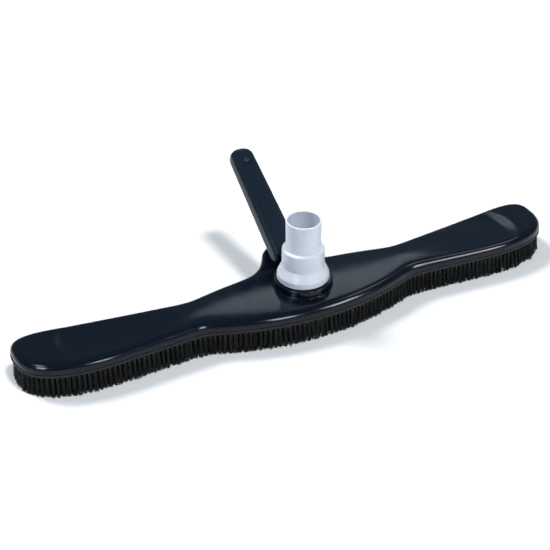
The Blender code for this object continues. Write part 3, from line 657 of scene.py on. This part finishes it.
def make_plate():
    plan = outline(False, 2.2)
    lip = 0.4
    bm = bmesh.new()
    high, low = PLATE_HIGH, PLATE_LOW
    sections = [(0.0, high), (lip * 0.7, high - 0.1), (lip, high - 0.35), (lip, low + 0.35),
                (lip * 0.7, low + 0.1), (0.0, low)]
    skin(bm, [level_ring(inset(plan, -out), z) for out, z in sections], cap=True)
    plate = new_piece("bristle_carrier", bm, GREY)
    tools = []
    webs = [-x for x in reversed(SCREW_XS)] + list(SCREW_XS)
    for left, right in zip(webs, webs[1:]):
        loop = window_loop(left + WEB / 2, right - WEB / 2)
        bm = bmesh.new()
        skin(bm, [level_ring(loop, z) for z in (low - 1, high + 1)], cap=True)
        tools.append(new_piece("window_tool", bm, GREY))
    for x in webs:
        place = Vector((x, spine_y(x), 0.0))
        tools.append(new_piece("hole_tool", rod(1.8, high + 1, low - 1, 32), GREY, offset=place))
    cut(plate, tools)
    soften(plate, 35)
    stand_in(plate, "bristle_plate", "brush_head")


RUN_BREAK_X = 210.0


def run_of(x, y):
    """The run of bristles that covers this place on the rim."""
    middle = (rear_y(HALF_LENGTH) + front_y(HALF_LENGTH)) / 2
    side = "right" if x > 0 else "left"
    if abs(x) > RUN_BREAK_X:
        return f"{side}_tip_{'front' if y < middle else 'rear'}"
    part = "paddle" if abs(x) > WAIST_X else "centre"
    return f"{'rear' if y > spine_y(x) else 'front'}_{side}_{part}"


TUFT_PITCH = 4.45
ROWS = ((2.6, 26), (5.3, 16), (8.0, 16))  # depth in from the rim, filaments in a tuft
TUFT_RADIUS = 1.05
FILAMENT_RADIUS = 0.24
ROOT_IN_PLATE = 0.25
LEAN_OUT, LEAN_OUT_SPREAD, LEAN_ALONG_SPREAD = 1.3, 0.45, 0.4
TRIM_SPREAD, TIP_SPREAD, TIP_MOST = 0.25, 0.35, 2.0
STRAY_SPREAD, BEND_SPREAD, LEAN_BEND = 0.35, 0.22, 0.12


def filament(verts, faces, base, tip, bend, radius, rng):
    """A three-sided tapering filament of three lengths, from the plate down to its tip."""
    start = len(verts)
    spin = rng.uniform(0.0, math.tau)
    shares = (0.0, 0.36, 0.7, 1.0)
    for share in shares:
        middle = base.lerp(tip, share) + bend * (4 * share * (1 - share))
        thick = radius * (1.0 - 0.22 * share)
        for k in range(3):
            a = spin + math.tau * k / 3
            verts.append((middle.x + thick * math.cos(a), middle.y + thick * math.sin(a), middle.z))
    for level in range(len(shares) - 1):
        low, high = start + 3 * level, start + 3 * level + 3
        for k in range(3):
            j = (k + 1) % 3
            faces.append((low + k, low + j, high + j, high + k))
    last = len(verts) - 3
    faces.append((start, start + 2, start + 1))
    faces.append((last, last + 1, last + 2))


def tuft(verts, faces, place, facing, count, rng):
    """A tuft of filaments that leans out from the rim, its tips trimmed close to the floor."""
    (x, y), (nx, ny) = place, facing
    lean = Vector((nx, ny, 0.0)) * rng.gauss(LEAN_OUT, LEAN_OUT_SPREAD)
    lean += Vector((-ny, nx, 0.0)) * rng.gauss(0.0, LEAN_ALONG_SPREAD)
    trim = abs(rng.gauss(0.0, TRIM_SPREAD))
    for _ in range(count):
        a, r = rng.uniform(0.0, math.tau), TUFT_RADIUS * math.sqrt(rng.random())
        off = Vector((r * math.cos(a), r * math.sin(a), 0.0))
        base = Vector((x, y, PLATE_LOW + ROOT_IN_PLATE)) + off
        stray = Vector((rng.gauss(0.0, STRAY_SPREAD), rng.gauss(0.0, STRAY_SPREAD), 0.0))
        tip = Vector((x, y, 0.0)) + off * rng.uniform(1.2, 1.7) + lean + stray
        tip.x = max(-HALF_LENGTH, min(HALF_LENGTH, tip.x))
        tip.y = max(-CENTRE_FRONT, tip.y)
        tip.z = min(trim + abs(rng.gauss(0.0, TIP_SPREAD)), TIP_MOST)
        bend = Vector((rng.gauss(0.0, BEND_SPREAD), rng.gauss(0.0, BEND_SPREAD), 0.0))
        bend -= lean * LEAN_BEND
        filament(verts, faces, base, tip, bend, FILAMENT_RADIUS * rng.uniform(0.85, 1.1), rng)


def make_tufts():
    rng = random.Random(SEED)
    runs = {}
    for row, (depth, count) in enumerate(ROWS):
        places = resample(inset(outline(False, 1.2), depth), TUFT_PITCH)
        if row == 1:
            places = (places + np.roll(places, -1, 0)) / 2
        for place, facing in zip(places, outward(places)):
            verts, faces = runs.setdefault(run_of(*place), ([], []))
            tuft(verts, faces, place, facing, count, rng)
    for name, (verts, faces) in runs.items():
        mesh = bpy.data.meshes.new(f"tufts_{name}")
        mesh.from_pydata(verts, [], faces)
        mesh.transform(Matrix.Translation(PORT) @ Matrix.Scale(MM, 4))
        mesh.materials.append(BRISTLE)
        mesh.shade_smooth()
        obj = bpy.data.objects.new(f"tufts_{name}", mesh)
        bpy.context.scene.collection.objects.link(obj)
        stand_in(obj, f"bristles_{name}", "brush_head")


# --- Hose cuff ---

def make_cuff():
    """Two hose steps, a flange over the collar and a sleeve with grooves for seal and ring."""
    mouth, base = cuff_high.z / MM, cuff_low.z / MM
    flange_z = COLLAR_TOP + 1.3
    flare_low = flange_z + 5.0
    flare_top = flare_low + 7.0
    step_z = flare_top + 17.5
    sleeve, seal_groove, ring_groove = 20.4, 18.3, 18.7
    seal_z = BODY_TOP + COLLAR_HEIGHT * 0.35
    ring_top = BODY_TOP - COLLAR_SKIRT - 0.3
    # radius, level and corner radius, from the mouth down the outside and up the bore
    profile = [(14.25, mouth, 0.35), (15.9, mouth, 0.5), (15.55, step_z, 0.5),
               (18.95, step_z, 1.5), (19.25, flare_top + 1.0, 3.0),
               (21.2, flare_top - 3.2, 4.5), (23.3, flare_low - 0.6, 2.6),
               (23.4, flange_z + 0.9, 0.0), (23.6, flange_z + 0.8, 0.1), (23.6, flange_z, 0.3),
               (sleeve, flange_z, 0.2), (sleeve, seal_z + 1.5, 0.0),
               (seal_groove, seal_z + 1.5, 0.0), (seal_groove, seal_z - 1.5, 0.0),
               (sleeve, seal_z - 1.5, 0.0), (sleeve, ring_top + 0.3, 0.0),
               (ring_groove, ring_top + 0.3, 0.0), (ring_groove, ring_top - 2.3, 0.0),
               (sleeve, ring_top - 2.3, 0.0), (sleeve, base, 0.5), (16.3, base, 0.4),
               (16.3, flange_z + 3.0, 2.0), (14.1, flare_top, 2.0)]
    points = rounded([(r, z) for r, z, _ in profile], [corner for _, _, corner in profile], 6)
    cuff = new_piece("hose_cuff_moulding", lathe(points, 160), WHITE, 40)
    stand_in(cuff, "hose_swivel", "hose_cuff")


# --- Handle, pivot and clip ---

HANDLE_REACH, HANDLE_DOME, HANDLE_WALL = 113.0, 8.0, 2.7
ROOT_HALF = (12.6, 8.5)
TIP_HALF = (10.8, 7.3)
HANDLE_CORNER = 3.8
FORK_DEPTH = 11.5
FORK_WIDTH = 20.2
ROOF_UNDERSIDE, ROOF_END = 5.6, -4.5
BUTTON_AT = 97.0
PIN_RADIUS, PIN_END, PIN_BORE, PIN_BORE_END = 2.5, -11.1, 2.55, -11.4
CLEAR = 20.0
BEYOND = 17.0
HANDLE_TURN = Matrix.Rotation(HANDLE_ANGLE, 4, "X")


def half_sizes(y):
    """Half width and half depth of the handle, y millimetres from the pivot."""
    share = max(0.0, min(1.0, y / (HANDLE_REACH - HANDLE_DOME)))
    return tuple(a + (b - a) * share for a, b in zip(ROOT_HALF, TIP_HALF))


def section(half_width, half_depth, corner, y, steps=8):
    """A rounded rectangle across the handle."""
    corner = min(corner, half_width * 0.99, half_depth * 0.99)
    ring = []
    for sx, sz, start in ((1, 1, 0), (-1, 1, 90), (-1, -1, 180), (1, -1, 270)):
        cx, cz = sx * (half_width - corner), sz * (half_depth - corner)
        for k in range(steps + 1):
            a = math.radians(start + 90 * k / steps)
            ring.append((cx + corner * math.cos(a), y, cz + corner * math.sin(a)))
    return ring


def handle_piece(name, bm):
    return new_piece(name, bm, HANDLE, turn=HANDLE_TURN, offset=PIVOT)


def handle_outside():
    rings = []
    for a in np.radians(np.linspace(86, 8, 12)):
        root_y, depth = -ROOT_HALF[1] * math.sin(a), ROOT_HALF[1] * math.cos(a)
        rings.append(section(ROOT_HALF[0], depth, HANDLE_CORNER, root_y))
    dome = HANDLE_REACH - HANDLE_DOME
    for share in np.linspace(0.0, 1.0, 22):
        y = dome * share
        rings.append(section(*half_sizes(y), HANDLE_CORNER, y))
    half_width, half_depth = half_sizes(dome)
    for degrees in (8, 17, 27, 37, 47, 56, 64, 71, 77, 82, 86, 88.5):
        a = math.radians(degrees)
        scale = math.cos(a) ** 0.8
        y = dome + HANDLE_DOME * math.sin(a)
        rings.append(section(half_width * scale, half_depth * scale, HANDLE_CORNER * 1.4, y))
    bm = bmesh.new()
    skin(bm, rings, cap=True)
    return bm


def handle_core():
    """The hollow inside the handle, open at the root."""
    end = HANDLE_REACH - HANDLE_DOME / 2 - HANDLE_WALL
    rings = []
    for y in (-10.0, FORK_DEPTH, 40.0, end * 0.8, end):
        half_width, half_depth = half_sizes(y)
        rings.append(section(half_width - HANDLE_WALL, half_depth - HANDLE_WALL, 2.4, y))
    bm = bmesh.new()
    skin(bm, rings, cap=True)
    return bm


def fork_slot(end, top):
    """The gap between the ears, up to this distance from the pivot and this height."""
    bm = bmesh.new()
    bmesh.ops.create_cube(bm, size=1.0)
    bmesh.ops.scale(bm, vec=(FORK_WIDTH, BEYOND + end, BEYOND + top), verts=bm.verts)
    bmesh.ops.translate(bm, vec=(0.0, (end - BEYOND) / 2, (top - BEYOND) / 2), verts=bm.verts)
    return bm


def make_handle():
    handle = handle_piece("handle_moulding", handle_outside())
    bore = rod(PIN_BORE, CLEAR, PIN_BORE_END, 40)
    bore.transform(Matrix.Rotation(math.pi / 2, 4, "Y"))
    hole = rod(3.2, CLEAR, -CLEAR, 40)
    hole.transform(Matrix.Translation((0.0, BUTTON_AT, 0.0)))
    hollows = (handle_core(), fork_slot(FORK_DEPTH, ROOF_UNDERSIDE), fork_slot(ROOF_END, BEYOND),
               bore, hole)
    cut(handle, [handle_piece(f"handle_tool_{k}", tool) for k, tool in enumerate(hollows)])
    soften(handle, 35)
    stand_in(handle, "pole_handle", "handle")


def make_pin():
    head, head_end = 12.9, 14.3
    profile = rounded([(0.0, head_end), (4.2, head_end), (4.2, head), (PIN_RADIUS, head),
                       (PIN_RADIUS, PIN_END), (0.0, PIN_END)], [0, 0.9, 0.15, 0, 0.3, 0])
    turn = Matrix.Rotation(math.pi / 2, 4, "Y")
    pin = new_piece("pivot_pin_turned", lathe(profile, 48), STEEL, 40, turn, PIVOT)
    stand_in(pin, "pivot_pin", "handle")


def make_bushes():
    flange, flange_end, end = 8.9, 9.7, 0.15
    profile = rounded([(5.0, flange_end), (5.0, flange), (3.6, flange), (3.6, end),
                       (PIN_BORE, end), (PIN_BORE, flange_end)], [0.2, 0.1, 0, 0.1, 0.1, 0.1])
    for side, angle in (("right", math.pi / 2), ("left", -math.pi / 2)):
        turn = Matrix.Rotation(angle, 4, "Y")
        bush = new_piece(f"pivot_bush_{side}_turned", lathe(profile, 48), BLACK, 40, turn, PIVOT)
        stand_in(bush, f"pivot_bush_{side}", "brush_head")


def make_buttons():
    half_depth = half_sizes(BUTTON_AT)[1]
    flange = half_depth - HANDLE_WALL - 0.3
    top = half_depth + 2.0
    profile = rounded([(0.0, top), (2.9, top - 0.15), (2.9, flange), (4.0, flange),
                       (4.0, flange - 1.0), (0.0, flange - 1.0)], [0, 1.2, 0, 0.2, 0.2, 0])
    for side, flip in (("upper", 0.0), ("lower", math.pi)):
        bm = lathe(profile, 40)
        bm.transform(Matrix.Translation((0.0, BUTTON_AT, 0.0)) @ Matrix.Rotation(flip, 4, "X"))
        button = new_piece(f"clip_button_{side}_turned", bm, BLACK, 40, HANDLE_TURN, PIVOT)
        stand_in(button, f"clip_button_{side}", f"button_{side}")


def keep_cad(node, material):
    """Show the CAD node itself, with a material of this scene."""
    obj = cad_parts[node]
    obj.data.materials.clear()
    obj.data.materials.append(material)


make_body()
make_plate()
make_tufts()
make_cuff()
make_handle()
make_pin()
make_bushes()
make_buttons()
SCREWS = [(f"plate_screw_{i}", STEEL) for i in range(1, 2 * len(SCREW_XS) + 1)]
for name, material in (("swivel_washer", WHITE), ("swivel_retaining_ring", BLACK),
                       ("swivel_seal", RUBBER), ("clip_spring", STEEL), *SCREWS):
    keep_cad(name, material)


# --- Studio ---

def make_floor():
    mesh = bpy.data.meshes.new("studio_floor")
    half = 15.0
    corners = [(-half, -half, 0), (half, -half, 0), (half, half, 0), (-half, half, 0)]
    mesh.from_pydata(corners, [], [(0, 1, 2, 3)])
    floor = bpy.data.objects.new("studio_floor", mesh)
    material, *_, shader, _ = new_material("studio_white")
    shader.inputs["Base Color"].default_value = (0.86, 0.86, 0.86, 1.0)
    shader.inputs["Roughness"].default_value = 1.0
    shader.inputs["Specular IOR Level"].default_value = 0.0
    mesh.materials.append(material)
    bpy.context.scene.collection.objects.link(floor)


def card(name, place, target, size, power, colour):
    """A light card that shows in reflections only."""
    data = bpy.data.lights.new(name, "AREA")
    data.shape = "RECTANGLE"
    data.size, data.size_y = size
    data.energy = power
    data.color = colour
    light = bpy.data.objects.new(name, data)
    light.location = place
    light.rotation_euler = (Vector(target) - Vector(place)).to_track_quat("-Z", "Y").to_euler()
    light.visible_diffuse = False
    bpy.context.scene.collection.objects.link(light)


def sun_light(name, direction, spread, strength):
    """An even soft light over the whole floor, left out of reflections."""
    data = bpy.data.lights.new(name, "SUN")
    data.angle = math.radians(spread)
    data.energy = strength
    light = bpy.data.objects.new(name, data)
    light.location = direction
    light.rotation_euler = Vector(direction).to_track_quat("Z", "Y").to_euler()
    light.visible_glossy = False
    bpy.context.scene.collection.objects.link(light)


def make_studio():
    world = bpy.data.worlds.new("studio_world")
    bpy.context.scene.world = world
    world.use_nodes = True
    background = world.node_tree.nodes["Background"]
    background.inputs["Color"].default_value = (0.52, 0.76, 1.0, 1.0)
    background.inputs["Strength"].default_value = 0.22
    sun_light("key", (0.29, -0.62, 1.8), 10.0, 2.05)
    sun_light("soft", (-0.6, 0.9, 1.5), 17.0, 2.0)
    # name, place, target, size, power and colour
    cards = [("strip_right", (1.05, -1.45, 0.95), (0.1, 0, 0), (0.5, 0.7), 24, (0.86, 0.92, 1.0)),
             ("strip_centre", (0.2, -1.8, 0.95), (0, 0, 0), (0.35, 0.7), 16, (0.80, 0.89, 1.0)),
             ("strip_left", (-1.5, -0.95, 0.95), (-0.2, 0, 0), (0.6, 0.7), 24, (0.78, 0.89, 1.0)),
             ("top_right", (1.15, -0.2, 1.6), (0.1, 0, 0), (0.55, 0.5), 3, (1.0, 0.90, 0.80)),
             ("top_left", (-1.15, -0.25, 1.55), (-0.1, 0, 0), (0.5, 0.6), 10, (0.78, 0.89, 1.0)),
             ("card_back", (0.95, 1.55, 1.45), (0.1, 0, 0), (0.7, 0.4), 1.8, (0.80, 0.90, 1.0))]
    for settings in cards:
        card(*settings)


def make_camera():
    view = 24.0
    data = bpy.data.cameras.new("camera")
    data.sensor_width = 36.0
    data.lens = data.sensor_width / 2 / math.tan(math.radians(view / 2))
    camera = bpy.data.objects.new("camera", data)
    place = PORT + Vector((-0.4526, -0.8517, 0.6784))
    target = PORT + Vector((-0.0279, 0.0, 0.0509))
    camera.location = place
    camera.rotation_euler = (target - place).to_track_quat("-Z", "Y").to_euler()
    bpy.context.scene.collection.objects.link(camera)
    bpy.context.scene.camera = camera


make_floor()
make_studio()
make_camera()
bpy.context.scene.view_settings.view_transform = "Standard"
bpy.context.scene.view_settings.look = "None"
